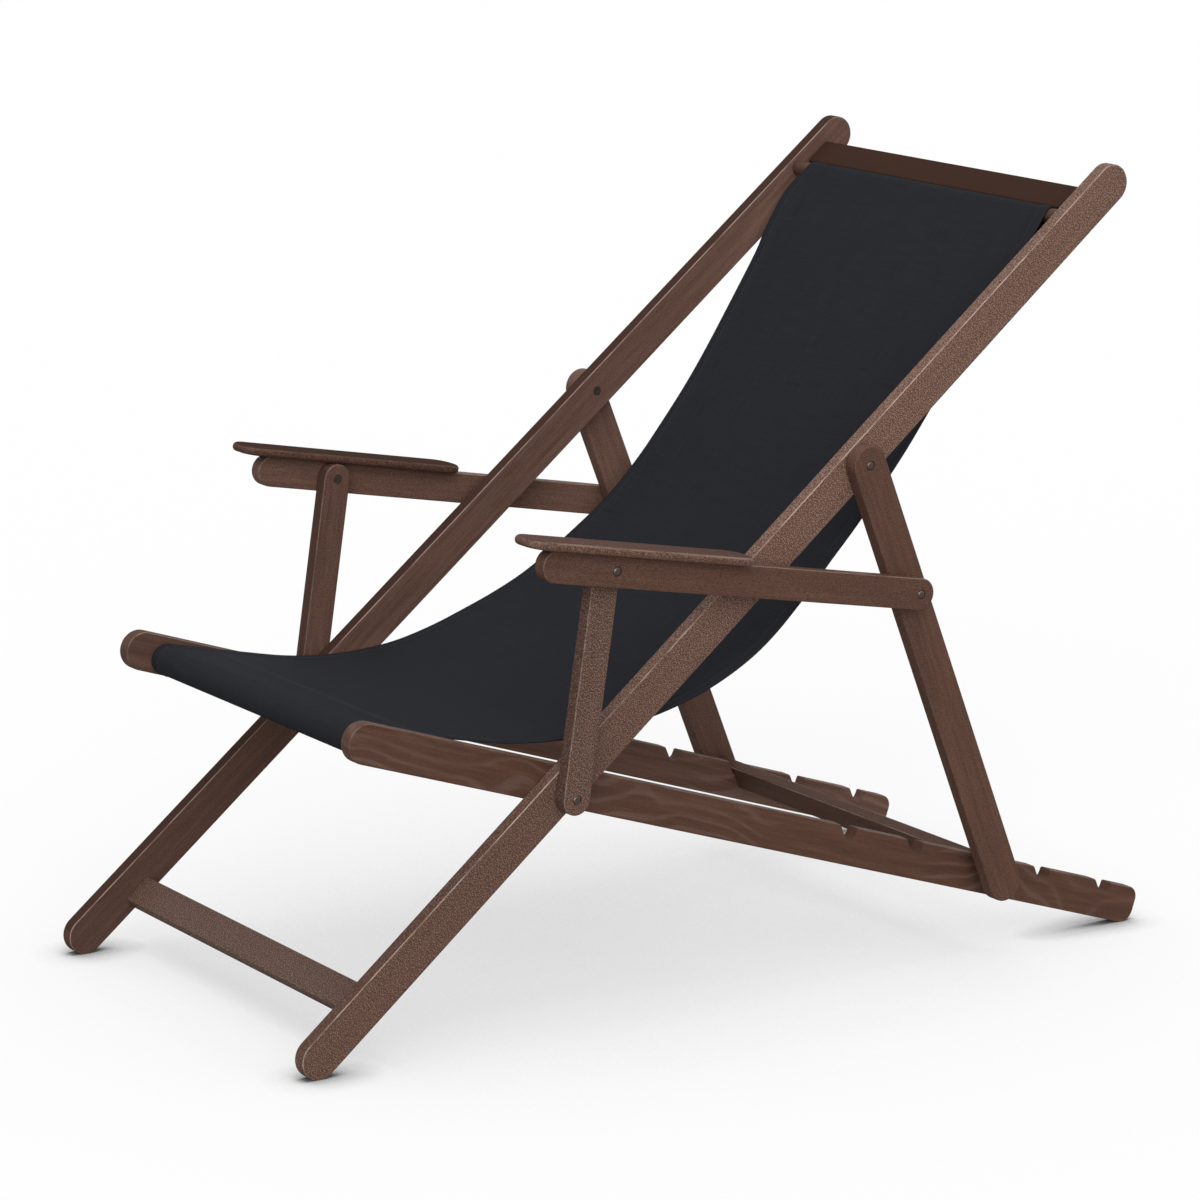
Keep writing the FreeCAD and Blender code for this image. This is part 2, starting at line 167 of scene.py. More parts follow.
def new_paint(name):
    paint = bpy.data.materials.new(name)
    paint.use_nodes = True
    return paint, paint.node_tree, paint.node_tree.nodes["Principled BSDF"]


print("helpers for patterns and paints ready")

# %% [markdown]
# ## Floor and light
# The chair stands on a white studio floor. Its side faces are brighter than the tops, so the main light
# is a large soft one beside the camera, with a weaker one overhead. A dome of small lamps could do this,
# but two suns with a large angle and an even white world are simpler and don't flicker. The camera sees
# the floor white and mostly as plain glow, which keeps the shadow pale as in a bright studio, while the
# light that bounces off it is that of a grey floor, so that the faces turned down stay dark. The glow is
# dimmed a little wherever the chair covers the floor, and much more close under the feet, where the
# shadow is dark. The white world is seen at full strength but lights the chair at less than half of it.

# %% Floor plane
floor_half = 40.0
floor_corners = [(-floor_half, -floor_half, 0), (floor_half, -floor_half, 0), (floor_half, floor_half, 0),
                 (-floor_half, floor_half, 0)]
floor_mesh = bpy.data.meshes.new("studio_floor")
floor_mesh.from_pydata(floor_corners, [], [(0, 1, 2, 3)])
studio_floor = new_object("studio_floor", floor_mesh)
print("floor made", 2 * floor_half, "m wide")

# %% Floor paint
floor_white = (1.0, 1.0, 1.0, 1.0)
floor_bounce = (0.45, 0.45, 0.45, 1.0)
floor_roughness = 0.9
floor_lift = 0.8
foot_shadow_reach = 0.045
foot_shadow_range = (0.32, 0.95)
chair_shadow_reach = 0.8
chair_shadow_range = (0.15, 0.5)
chair_shadow_depth = 0.24
shadow_samples = 4


def openness(tree, reach):
    # 1 where nothing stands above the floor within the given distance, and less under a thing
    made = add(tree, "AmbientOcclusion", samples=shadow_samples)
    made.inputs["Distance"].default_value = reach
    return made.outputs["AO"]


floor_paint, tree, shader = new_paint("white floor")
camera_ray = add(tree, "LightPath").outputs["Is Camera Ray"]
feed(tree, shader.inputs["Base Color"], tint(tree, camera_ray, floor_bounce, floor_white))
shader.inputs["Roughness"].default_value = floor_roughness
shader.inputs["Specular IOR Level"].default_value = 0.0
open_floor = ramp(tree, openness(tree, foot_shadow_reach), *foot_shadow_range)
covered = ramp(tree, one_minus(tree, openness(tree, chair_shadow_reach)), *chair_shadow_range)
shade = times(tree, covered, chair_shadow_depth)
glow = add(tree, "Emission")
feed(tree, glow.inputs["Strength"], maths(tree, "SUBTRACT", open_floor, shade, clamp=True))
floor_mix = add(tree, "MixShader")
feed(tree, floor_mix.inputs[0], times(tree, camera_ray, floor_lift))
feed(tree, floor_mix.inputs[1], shader.outputs[0])
feed(tree, floor_mix.inputs[2], glow.outputs[0])
feed(tree, tree.nodes["Material Output"].inputs["Surface"], floor_mix.outputs[0])
floor_mesh.materials.append(floor_paint)
print("floor paint has", len(tree.nodes), "nodes")

# %% White world
sky_strength = 0.42
sky_white = (1, 1, 1, 1)

world = bpy.data.worlds.new("white studio")
bpy.context.scene.world = world
world.use_nodes = True
sky = world.node_tree
dim = sky.nodes["Background"]
dim.inputs["Color"].default_value = sky_white
dim.inputs["Strength"].default_value = sky_strength
bright = add(sky, "Background")
bright.inputs["Color"].default_value = sky_white
rays = add(sky, "LightPath").outputs
seen = maths(sky, "MAXIMUM", rays["Is Camera Ray"], rays["Is Glossy Ray"])
seen = maths(sky, "MAXIMUM", seen, rays["Is Transmission Ray"])
choose = add(sky, "MixShader")
feed(sky, choose.inputs[0], seen)
feed(sky, choose.inputs[1], dim.outputs[0])
feed(sky, choose.inputs[2], bright.outputs[0])
feed(sky, sky.nodes["World Output"].inputs["Surface"], choose.outputs[0])
print("world lights the chair at", sky_strength)

# %% Lamps
overhead_strength = 0.7
overhead_angle = math.radians(34)
side_strength = 2.5
side_angle = math.radians(60)
side_from = Vector((0.76, -0.5, 0.42)).normalized()


def soft_sun(name, strength, angle, comes_from):
    data = bpy.data.lights.new(name, "SUN")
    data.energy = strength
    data.angle = angle
    lamp = new_object(name, data)
    lamp.rotation_euler = comes_from.to_track_quat("Z", "Y").to_euler()


soft_sun("overhead_lamp", overhead_strength, overhead_angle, Vector((0, 0, 1)))
soft_sun("side_lamp", side_strength, side_angle, side_from)
floor_light = sky_strength + (overhead_strength + side_strength * side_from.z) / math.pi
print("open floor renders at about", round(floor_lift + (1 - floor_lift) * floor_white[0] * floor_light, 3))

# %% [markdown]
# ## Board grain
# The timber is a dense hardwood under a thin brown stain. Close up it shows lengthwise streaks, short
# dark pores, fine pale and dark flecks, small waves, and here and there the pointed flames of the year
# rings. A scanned picture would repeat and would need unwrapping. This group instead works on a point of
# the board, with Y along the grain, so the grain runs through the solid and turns over its edges as in
# real wood. Each finish sets how much of each it wants.

# %% Node group for the grain
def new_group(name, takes, gives):
    group = bpy.data.node_groups.new(name, "ShaderNodeTree")
    for label, kind, start in takes:
        socket = group.interface.new_socket(label, in_out="INPUT", socket_type="NodeSocket" + kind)
        if start is not None:
            socket.default_value = start
    for label, kind in gives:
        group.interface.new_socket(label, in_out="OUTPUT", socket_type="NodeSocket" + kind)
    entry = group.nodes.new("NodeGroupInput").outputs
    result = group.nodes.new("NodeGroupOutput").inputs
    return group, entry, result


grain, entry, result = new_group(
    "board grain",
    [("Along", "Vector", None), ("Figure", "Float", 0.5), ("Fleck", "Float", 0.5), ("Wave", "Float", 0.2),
     ("Dark", "Color", (0.05, 0.022, 0.013, 1)), ("Middle", "Color", (0.1, 0.045, 0.027, 1)),
     ("Pale", "Color", (0.2, 0.11, 0.075, 1))],
    [("Colour", "Color"), ("Height", "Float"), ("Roughness", "Float")])
along = entry["Along"]


def along_grain(stretch, scale, detail, roughness=0.5):
    # A noise that is drawn out along the board, the more so the smaller the stretch
    return noise(grain, stretched(grain, along, (1, stretch, 1)), scale, detail, roughness)


fine_part = 0.45
broad_part = 0.55
fine = along_grain(stretch=0.025, scale=1300, detail=3, roughness=0.6)
broad = along_grain(stretch=0.05, scale=170, detail=3, roughness=0.55)
streaky = plus(grain, times(grain, fine, fine_part), times(grain, broad, broad_part))
streak = ramp(grain, streaky, low=0.3, high=0.7)
speck = along_grain(stretch=0.65, scale=1000, detail=1, roughness=0.6)
pale_fleck = ramp(grain, speck, low=0.5, high=0.64)
dark_fleck = ramp(grain, one_minus(grain, speck), low=0.54, high=0.64)
wavy = along_grain(stretch=0.24, scale=720, detail=2, roughness=0.6)
ripple = ramp(grain, wavy, low=0.48, high=0.62)
pitted = along_grain(stretch=0.09, scale=1900, detail=1)
pore = ramp(grain, pitted, low=0.6, high=0.72)
print("streaks, flecks, ripples and pores ready")

# %% Flames of the year rings
ring_spacing = 0.017
ring_wander = 0.1
ring_jitter = 0.4 * ring_spacing
drift = noise(grain, stretched(grain, along, (4, 1, 1.5)), scale=7.5, detail=1)
ring_depth = plus(grain, parts_of(grain, along)["Z"], times(grain, drift, ring_wander))
ring_depth = plus(grain, ring_depth, times(grain, broad, ring_jitter))
swell = maths(grain, "SINE", times(grain, ring_depth, 2 * math.pi / ring_spacing))
hollow = maths(grain, "SUBTRACT", 0.0, swell)
flamed = ramp(grain, along_grain(stretch=1, scale=4.5, detail=1), low=0.4, high=0.6)
pale_ring = times(grain, ramp(grain, swell, low=0.3, high=1.0), flamed)
dark_ring = times(grain, ramp(grain, hollow, low=0.2, high=1.0), flamed)
print("flames about", 1000 * ring_spacing, "mm apart")

# %% Grain colours, height and roughness
pore_darkness = 0.4
pore_sink = 0.5
streak_height = 0.3
smooth_wood = 0.46
streak_roughness = 0.16


def share(mask, label, part=1.0):
    # A mask weighed by one of the group's inputs
    return times(grain, times(grain, mask, entry[label]), part)


colour = tint(grain, streak, entry["Dark"], entry["Middle"])
colour = tint(grain, share(dark_ring, "Figure", part=0.4), colour, entry["Dark"])
colour = tint(grain, share(pale_ring, "Figure", part=0.25), colour, entry["Pale"])
colour = tint(grain, share(ripple, "Wave"), colour, entry["Dark"])
colour = tint(grain, share(pale_fleck, "Fleck"), colour, entry["Pale"])
colour = tint(grain, share(dark_fleck, "Fleck", part=0.7), colour, entry["Dark"])
colour = tint(grain, times(grain, pore, pore_darkness), colour, entry["Dark"])
feed(grain, result["Colour"], colour)
height = plus(grain, times(grain, streak, streak_height), share(pale_fleck, "Fleck", part=0.5))
height = maths(grain, "SUBTRACT", height, times(grain, pore, pore_sink))
feed(grain, result["Height"], maths(grain, "SUBTRACT", height, share(ripple, "Wave", part=0.4)))
feed(grain, result["Roughness"], plus(grain, smooth_wood, times(grain, streak, streak_roughness)))
print("board grain has", len(grain.nodes), "nodes")

# %% [markdown]
# ## Worn arrises with a painted highlight
# Every board's long edges are rounded over. The stain is rubbed thin there, and a thin pale line follows
# them, which is part wear and part painted highlight: it is strongest on the edges that face up, where the
# light from above falls. Wear is often painted by hand, or taken from how pointed the mesh is. Here the
# mask comes from the surface's own direction: on an arris the normal lies halfway between two faces.

# %% Node group for the wear and painted highlight
arris_sharpness = 3
least_wear = 0.25
wear_and_highlight, entry, result = new_group(
    "arris wear", [("Facing", "Vector", None), ("Along", "Vector", None), ("Amount", "Float", 0.5)],
    [("WearAndHighlight", "Float")])
facing = parts_of(wear_and_highlight, entry["Facing"])
square = maths(wear_and_highlight, "POWER", maths(wear_and_highlight, "ABSOLUTE", facing["X"]), 2)
# The factor 4 brings the ridge to 1 halfway between two faces
ridge = times(wear_and_highlight, times(wear_and_highlight, square, one_minus(wear_and_highlight, square)), 4)
ridge = maths(wear_and_highlight, "POWER", ridge, arris_sharpness)
# Edges that face up get the most: a painted highlight of the light from above, besides the wear
turned_up = ramp(wear_and_highlight, facing["Z"], low=-0.1, high=0.5)
upper = plus(wear_and_highlight, least_wear, times(wear_and_highlight, turned_up, 1 - least_wear))
patches = noise(wear_and_highlight, stretched(wear_and_highlight, entry["Along"], (1, 0.15, 1)), scale=160, detail=3, roughness=0.65)
patchy = ramp(wear_and_highlight, patches, low=0.25, high=0.62)
rub_and_highlight = times(wear_and_highlight, times(wear_and_highlight, ridge, patchy), upper)
feed(wear_and_highlight, result["WearAndHighlight"], times(wear_and_highlight, rub_and_highlight, entry["Amount"], clamp=True))
print("arris wear has", len(wear_and_highlight.nodes), "nodes")

# %% [markdown]
# ## Painted shade on narrow faces and feet
# The upper narrow face of a board, and the foot of a board, are painted darker, as painted shade, and made
# duller. It could be painted on each board by hand. A mask from the board's own directions does it for all
# of them: one share for the upper narrow face and one for every face, each fading out from the foot of the
# board upwards.

# %% Node group for the painted shade
shade_inputs = ["Edge", "Edge Foot", "Edge Top", "Face", "Face Foot", "Face Top"]
painted_shade, entry, result = new_group(
    "soaked stain", [("Facing", "Vector", None), ("Along", "Vector", None)]
    + [(label, "Float", 0.0) for label in shade_inputs], [("PaintedShade", "Float")])
way_along = parts_of(painted_shade, entry["Along"])["Y"]


def fading(part):
    # From the given share at the foot of a board to none further up
    risen = ramp(painted_shade, way_along, entry[part + " Foot"], entry[part + " Top"])
    return times(painted_shade, one_minus(painted_shade, risen), entry[part])


upper_edge = ramp(painted_shade, parts_of(painted_shade, entry["Facing"])["Z"], low=0.6, high=0.95)
on_edge = times(painted_shade, upper_edge, fading("Edge"))
feed(painted_shade, result["PaintedShade"], maths(painted_shade, "MAXIMUM", on_edge, fading("Face")))
print("soaked stain has", len(painted_shade.nodes), "nodes")

# %% [markdown]
# ## Stained boards
# All the timber is one wood, but each board was sawn for itself: the left long rail and post are thick
# with pale flecks, the right ones, the props and the arms are smoother, and the seat rails show flames.
# Most boards on the sitter's right, which are the far ones in the picture, are painted lighter and a little
# greyer, as painted light that offsets the shade they stand in. One material for all would run the grain
# across the leaning boards. So each leaning direction gets its own materials, which first turn the object's
# coordinates until Y follows that board, and cross members turn theirs once more so that the grain follows
# the bar.

# %% Helpers for a board
stain_dark = (0.06, 0.0262, 0.0168)
stain_middle = (0.108, 0.0505, 0.0325)
stain_pale = (0.245, 0.178, 0.148)
# Dark colour of the painted shade
painted_shade_colour = (0.042, 0.0205, 0.014)
# Pale colour of the worn arrises, which also stands for their painted highlight
bare_and_lit_wood = (0.32, 0.24, 0.2)


def board_axes(tree, vector, lean, crosswise):
    rotated = add(tree, "VectorRotate", rotation_type="X_AXIS")
    feed(tree, rotated.inputs["Vector"], vector)
    rotated.inputs["Angle"].default_value = math.radians(-lean)
    if not crosswise:
        return rotated.outputs[0]
    axis = parts_of(tree, rotated.outputs[0])
    joined = add(tree, "CombineXYZ")
    for name, source in (("X", "Z"), ("Y", "X"), ("Z", "Y")):
        feed(tree, joined.inputs[name], axis[source])
    return joined.outputs[0]


def place_group(tree, group, **values):
    made = add(tree, "Group", node_tree=group)
    for name, value in values.items():
        feed(tree, made.inputs[name], value)
    return made.outputs


def toned(stain, tone_and_light, painted_light_greying):
    # A lighter or darker stain, greyed by the given share towards its own grey; on the far boards the
    # lighter, greyer stain is painted light against their shade
    grey = sum(stain) / 3
    return tuple(tone_and_light * (part + painted_light_greying * (grey - part)) for part in stain) + (1,)


def raise_surface(tree, shader, height, strength, depth):
    bump = add(tree, "Bump")
    bump.inputs["Strength"].default_value = strength
    bump.inputs["Distance"].default_value = depth
    feed(tree, bump.inputs["Height"], height)
    feed(tree, shader.inputs["Normal"], bump.outputs[0])


print("board helpers ready")

# %% Material for a board
# A painted shade is given as a share, and the distances along the board where it starts and ends to fade
no_shade = (0.0, 0.0, 1.0)
shade_dulling = 0.45
grain_strength = 0.35
grain_depth = 0.0005


def stained_board(name, lean, crosswise=False, figure=0.1, fleck=0.25, wave=0.15, worn_and_lit=0.5, tone_and_light=1.0,
                  painted_light_greying=0.0, gloss=0.15, edge_shade=no_shade, face_shade=no_shade):
    paint, tree, shader = new_paint(name)
    coords = add(tree, "TexCoord").outputs
    along = board_axes(tree, coords["Object"], lean, crosswise)
    facing = board_axes(tree, coords["Normal"], lean, crosswise)
    dark, middle, pale, bare_and_lit = [toned(stain, tone_and_light, painted_light_greying) for stain in
                                (stain_dark, stain_middle, stain_pale, bare_and_lit_wood)]
    wood = place_group(tree, grain, Along=along, Figure=figure, Fleck=fleck, Wave=wave,
                       Dark=dark, Middle=middle, Pale=pale)
    rub_and_highlight = place_group(tree, wear_and_highlight, Facing=facing, Along=along, Amount=worn_and_lit)["WearAndHighlight"]
    shade_values = dict(zip(shade_inputs, edge_shade + face_shade))
    shade_painted_over = place_group(tree, painted_shade, Facing=facing, Along=along, **shade_values)["PaintedShade"]
    # Painted shade: darker and duller on the upper narrow face and towards the foot
    colour = tint(tree, shade_painted_over, wood["Colour"], painted_shade_colour + (1,))
    # Arrises pale with wear and a painted highlight
    feed(tree, shader.inputs["Base Color"], tint(tree, rub_and_highlight, colour, bare_and_lit))
    dull = times(tree, shade_painted_over, shade_dulling)
    feed(tree, shader.inputs["Roughness"], plus(tree, wood["Roughness"], dull, clamp=True))
    shader.inputs["Specular IOR Level"].default_value = gloss
    raise_surface(tree, shader, wood["Height"], grain_strength, grain_depth)
    return paint


print("stained board finish ready")

# %% Give each board its material
# Leans are degrees from the level, rising to the rear
long_lean = 40.1
seat_lean = -16.96
prop_lean = -65.63
post_lean = 83.3
arm_lean = -9.09
# Further than any board reaches, so a painted shade with these distances doesn't fade
all_along = (2.0, 3.0)


def dress(paint, names):
    for name in names:
        chair[name].data.materials.clear()
        chair[name].data.materials.append(paint)
    print(paint.name, "on", len(names), "pieces")


# Most far boards get a higher tone and some greying: painted light that offsets the shade they stand in
finishes = [
    (stained_board("flecked long rail", long_lean, fleck=0.9, worn_and_lit=0.9, tone_and_light=1.42, gloss=0.12,
                   edge_shade=(0.55, -0.35, 0.2), face_shade=(0.34, -0.1, 0.45)), ["long_rail_left"]),
    (stained_board("smooth long rail", long_lean, fleck=0.15, worn_and_lit=0.6, tone_and_light=1.5, painted_light_greying=0.2, gloss=0.07,
                   edge_shade=(0.85, 1.0, 1.5), face_shade=(0.45, -0.5, 0.35)), ["long_rail_right"]),
    (stained_board("flamed seat rail", seat_lean, figure=0.7, fleck=0.1, worn_and_lit=0.4), ["seat_rail_left"]),
    (stained_board("flamed far seat rail", seat_lean, figure=0.7, fleck=0.1, worn_and_lit=0.4, tone_and_light=1.6,
                   painted_light_greying=0.15, face_shade=(0.5, -0.5, -0.3)), ["seat_rail_right"]),
    (stained_board("straight prop", prop_lean, worn_and_lit=0.2, tone_and_light=1.03), ["prop_leg_left"]),
    (stained_board("straight far prop", prop_lean, worn_and_lit=0.2, tone_and_light=1.35, painted_light_greying=0.1), ["prop_leg_right"]),
    (stained_board("flecked post", post_lean, fleck=1.15, gloss=0.12, edge_shade=(0.4, *all_along)),
     ["arm_post_left"]),
    (stained_board("smooth post", post_lean, worn_and_lit=0.2, tone_and_light=1.28, painted_light_greying=0.15, gloss=0.1,
                   edge_shade=(0.6, *all_along)), ["arm_post_right"]),
    (stained_board("waved arm", arm_lean, wave=1.0, tone_and_light=1.08), ["arm_rail_left"]),
    (stained_board("waved far arm", arm_lean, wave=0.6, tone_and_light=1.4, painted_light_greying=0.1), ["arm_rail_right"]),
    (stained_board("flecked pad", arm_lean, fleck=0.6, tone_and_light=1.1, gloss=0.09,
                   edge_shade=(0.45, *all_along)), ["arm_pad_left"]),
    (stained_board("flecked far pad", arm_lean, fleck=0.4, worn_and_lit=0.15, tone_and_light=0.85, gloss=0.03,
                   edge_shade=(0.85, *all_along)), ["arm_pad_right"]),
    (stained_board("dark head rail", long_lean, True, worn_and_lit=0.1, tone_and_light=0.48, gloss=0.06,
                   face_shade=(0.6, *all_along)), ["head_rail"]),
    (stained_board("flecked stretcher", long_lean, True, fleck=1.0, worn_and_lit=0.2, tone_and_light=0.92),
     ["foot_stretcher"]),
    (stained_board("prop crossbar", prop_lean + 180, True, worn_and_lit=0.9, tone_and_light=1.2), ["prop_crossbar"]),
    (stained_board("round bar", 0.0, True, worn_and_lit=0.0, tone_and_light=0.85),
     ["head_dowel", "front_bar", "arm_pad_dowels_left", "arm_pad_dowels_right"]),
]
for paint, names in finishes:
    dress(paint, names)

# %% [markdown]
# ## Dark bronzed steel
# The bolts and nuts are small round heads sunk into the boards, bronzed nearly black, with a glint of
# the studio on their domes. They could be one flat metal, but old steel is never even. So a fine blotch
# varies its colour and roughness, and the rims take the same mask as the boards: pale wear with a painted
# highlight, most where they face up.

# %% Material for bolts, nuts and washers
bronze_dark = (0.045, 0.034, 0.028, 1)
bronze_pale = (0.11, 0.086, 0.072, 1)
bare_and_lit_steel = (0.24, 0.21, 0.19, 1)
bronze_sheen = 0.5
bronze_roughness = 0.2
blotch_roughness = 0.2

steel, tree, shader = new_paint("bronzed steel")
coords = add(tree, "TexCoord").outputs
blotch = noise(tree, coords["Object"], scale=700, detail=3, roughness=0.6)
rub_and_highlight = place_group(tree, wear_and_highlight, Facing=coords["Normal"], Along=coords["Object"], Amount=0.9)["WearAndHighlight"]
bronze = tint(tree, blotch, bronze_dark, bronze_pale)
# Rims pale with wear and a painted highlight, most where they face up
feed(tree, shader.inputs["Base Color"], tint(tree, rub_and_highlight, bronze, bare_and_lit_steel))
uneven = times(tree, blotch, blotch_roughness)
feed(tree, shader.inputs["Roughness"], plus(tree, bronze_roughness, uneven))
shader.inputs["Metallic"].default_value = bronze_sheen
dress(steel, [name for name in chair if "bolt" in name or "nut" in name or "washer" in name])

# %% [markdown]
# ## The hanging cloth
# The seat is one long strip of canvas. It comes from a seam under the seat, round the front bar, hangs
# in a hollow, rises up the back, goes over the head dowel and comes down behind to a second seam. A
# cloth simulation would find such a hollow too, but the weight of an empty canvas is small and its line
# in the picture is clear: two straight runs with a wide arc between. So the line is drawn first, in the
# side view, from the two bars that carry it.

# %% The two loops of the cloth
cloth_thick = 0.0011
hem_thick = 0.002
layer_gap = 0.0002
layer_step = hem_thick + layer_gap
seam_reach = 0.048
hem_tail = 0.012
hem_lap = 0.004
# How far the layer under the seam runs back from it and drops towards the bar
loop_ease = ((0.003, 0.0007), (0.009, 0.0042))


def at_angle(angle, length=1.0):
    return Vector((math.cos(angle), math.sin(angle))) * length


def loop_line(steps, wrap):
    # About a bar at the origin, from the seam's tail to the top of the bar, where the cloth leaves along +X
    seam = Vector((seam_reach, wrap - layer_step))
    tail = [Vector((seam_reach + past, seam.y)) for past in (hem_tail, hem_lap)]
    bend = [Vector((seam_reach - back, seam.y - drop)) for back, drop in loop_ease]
    first = math.atan2(bend[1].y, bend[1].x) - math.acos(wrap / bend[1].length)
    turns = [first - (first + 1.5 * math.pi) * i / steps for i in range(steps + 1)]
    return tail + bend + [at_angle(turn, wrap) for turn in turns]


print("loops reach", 1000 * seam_reach, "mm from their bars to the seams")

# %% The cloth's line in the side view
bar_gap = 0.0003
seat_slope = math.radians(-11.3)
back_slope = math.radians(54.9)
hollow_radius = 0.522


def bar_axis(name):
    low, high = (Vector(corner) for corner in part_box(name))
    centre = (low + high) / 2
    return Vector((centre.y, centre.z)), (high.z - low.z) / 2


front_axis, front_radius = bar_axis("front_bar")
top_axis, top_radius = bar_axis("head_dowel")
front_wrap = front_radius + bar_gap + hem_thick / 2
top_wrap = top_radius + bar_gap + hem_thick / 2
seat_way = at_angle(seat_slope)
back_way = at_angle(back_slope)
seat_start = front_axis + at_angle(seat_slope + math.pi / 2, front_wrap)
back_end = top_axis + at_angle(back_slope + math.pi / 2, top_wrap)
turn = back_slope - seat_slope
gap = back_end - seat_start
seat_run = (gap.x * back_way.y - gap.y * back_way.x) / math.sin(turn)
back_run = -(gap.x * seat_way.y - gap.y * seat_way.x) / math.sin(turn)
cut_back = hollow_radius * math.tan(turn / 2)
seat_length = seat_run - cut_back
back_length = back_run - cut_back
hollow_start = seat_start + seat_way * seat_length
hollow_centre = hollow_start + at_angle(seat_slope + math.pi / 2, hollow_radius)
print("front bar radius", round(front_radius, 4), "head dowel radius", round(top_radius, 4))
print("seat run", round(seat_length, 3), "m, back run", round(back_length, 3), "m")

# %% Points along that line
seat_steps = 16
hollow_steps = 60
back_steps = 48
loop_steps = 26


def turned(point, angle):
    return Vector((point.x * math.cos(angle) - point.y * math.sin(angle),
                   point.x * math.sin(angle) + point.y * math.cos(angle)))


front_loop = loop_line(loop_steps, front_wrap)
top_loop = [Vector((-point.x, point.y)) for point in loop_line(loop_steps, top_wrap)]
line = [front_axis + turned(point, seat_slope) for point in front_loop]
line += [seat_start + seat_way * seat_length * i / seat_steps for i in range(1, seat_steps)]
for i in range(hollow_steps + 1):
    down = seat_slope + turn * i / hollow_steps - math.pi / 2
    line.append(hollow_centre + at_angle(down, hollow_radius))
line += [back_end - back_way * back_length * (1 - i / back_steps) for i in range(1, back_steps)]
line += [top_axis + turned(point, back_slope) for point in reversed(top_loop)]
travel = [0.0]
for first, second in zip(line, line[1:]):
    travel.append(travel[-1] + (second - first).length)
print("cloth line:", len(line), "points,", round(travel[-1], 3), "m long")

# %% [markdown]
# ## Width and hems
# The strip spreads in the slack hollow of the seat, draws in up the back where it is pulled tight,
# widens again towards the head and draws in its corners at the top loop. Its edges wander a few
# millimetres, as a hanging cloth's do, so a list gives both of them at distances behind the front bar,
# and a smooth curve runs through the list. The edges are folded over and sewn. Each point of the line
# becomes a row across the cloth, with extra columns at the hems, and a Solidify modifier makes it thick,
# more so where a vertex group marks the folded hem.

# %% The cloth's edges
# Distance behind the front bar, left edge and right edge, in metres from the middle plane
cloth_edges = [
    (-0.05, 0.2235, 0.2235), (0.15, 0.2235, 0.2235), (0.30, 0.227, 0.227), (0.36, 0.2305, 0.233),
    (0.41, 0.2325, 0.2365), (0.45, 0.2318, 0.2345), (0.49, 0.229, 0.231), (0.52, 0.224, 0.23),
    (0.56, 0.2155, 0.2275), (0.605, 0.2087, 0.219), (0.63, 0.2095, 0.2155), (0.665, 0.214, 0.21),
    (0.70, 0.219, 0.2058), (0.73, 0.22, 0.2062), (0.78, 0.221, 0.2125), (0.815, 0.2225, 0.2185),
    (0.83, 0.2235, 0.2245), (0.845, 0.2245, 0.2275), (0.86, 0.226, 0.2285), (0.868, 0.2265, 0.226),
    (0.875, 0.2262, 0.2215), (0.882, 0.2255, 0.2145), (0.895, 0.225, 0.212), (1.0, 0.225, 0.212)]


def smooth_value(place, column):
    # The height of a smooth curve through one column of the list
    last = len(cloth_edges) - 2
    i = max(k for k in range(last + 1) if k == 0 or cloth_edges[k][0] <= place)
    slopes = []
    for k in (i, i + 1):
        low, high = cloth_edges[max(k - 1, 0)], cloth_edges[min(k + 1, last + 1)]
        slopes.append((high[column] - low[column]) / (high[0] - low[0]))
    span = cloth_edges[i + 1][0] - cloth_edges[i][0]
    t = (place - cloth_edges[i][0]) / span
    rise = t * t * (3 - 2 * t)
    bend = slopes[0] * t * (1 - t) ** 2 - slopes[1] * t * t * (1 - t)
    return cloth_edges[i][column] * (1 - rise) + cloth_edges[i + 1][column] * rise + bend * span


def both_edges(y):
    behind = y - front_axis.x
    return smooth_value(behind, 1), -smooth_value(behind, 2)


widths = [left - right for left, right in (both_edges(point.x) for point in line)]
print("cloth is", round(min(widths), 3), "to", round(max(widths), 3), "m wide")

# %% The cloth's points and faces
hem_width = 0.016
hem_round = 0.0012
hem_places = [0.0, hem_round, hem_width / 2, hem_width - hem_round, hem_width]
columns = 30
points = []
cloth_places = []
hem_points = []
for point, run in zip(line, travel):
    left, right = both_edges(point.x)
    inner = left - right - 2 * hem_width
    row = [right + place for place in hem_places]
    row += [right + hem_width + inner * i / columns for i in range(1, columns)]
    row += [left - place for place in reversed(hem_places)]
    for x in row:
        if min(left - x, x - right) < hem_width - hem_round / 2:
            hem_points.append(len(points))
        points.append((x, point.x, point.y))
        cloth_places.append((x, run))
row_size = columns - 1 + 2 * len(hem_places)
faces = []
for i in range(len(line) - 1):
    for j in range(row_size - 1):
        start = i * row_size + j
        faces.append((start, start + 1, start + row_size + 1, start + row_size))
print("cloth mesh:", len(points), "points in", len(line), "rows")

# %% The cloth's mesh and thickness
sling_mesh = bpy.data.meshes.new("canvas_sling")
sling_mesh.from_pydata(points, [], faces)
unwrap = sling_mesh.uv_layers.new(name="cloth_metres")
for loop in sling_mesh.loops:
    unwrap.data[loop.index].uv = cloth_places[loop.vertex_index]
sling_mesh.shade_smooth()
canvas_sling = new_object("canvas_sling", sling_mesh)
hem_group = canvas_sling.vertex_groups.new(name="hem")
hem_group.add(hem_points, 1.0, "REPLACE")
thicken = canvas_sling.modifiers.new("thickness", "SOLIDIFY")
thicken.thickness = hem_thick
thicken.offset = 0.0
thicken.vertex_group = "hem"
thicken.thickness_vertex_group = cloth_thick / hem_thick
print("hems hold", len(hem_points), "points")

# %% [markdown]
# ## Stitching
# Two rows of stitches hold the loop seams and one row runs along each hem. A bump pattern would do from
# afar, but in a near view stitches stand proud, so each is a tiny spindle of thread laid on the cloth.
# They are all gathered in one mesh, because thousands of objects would be slow.

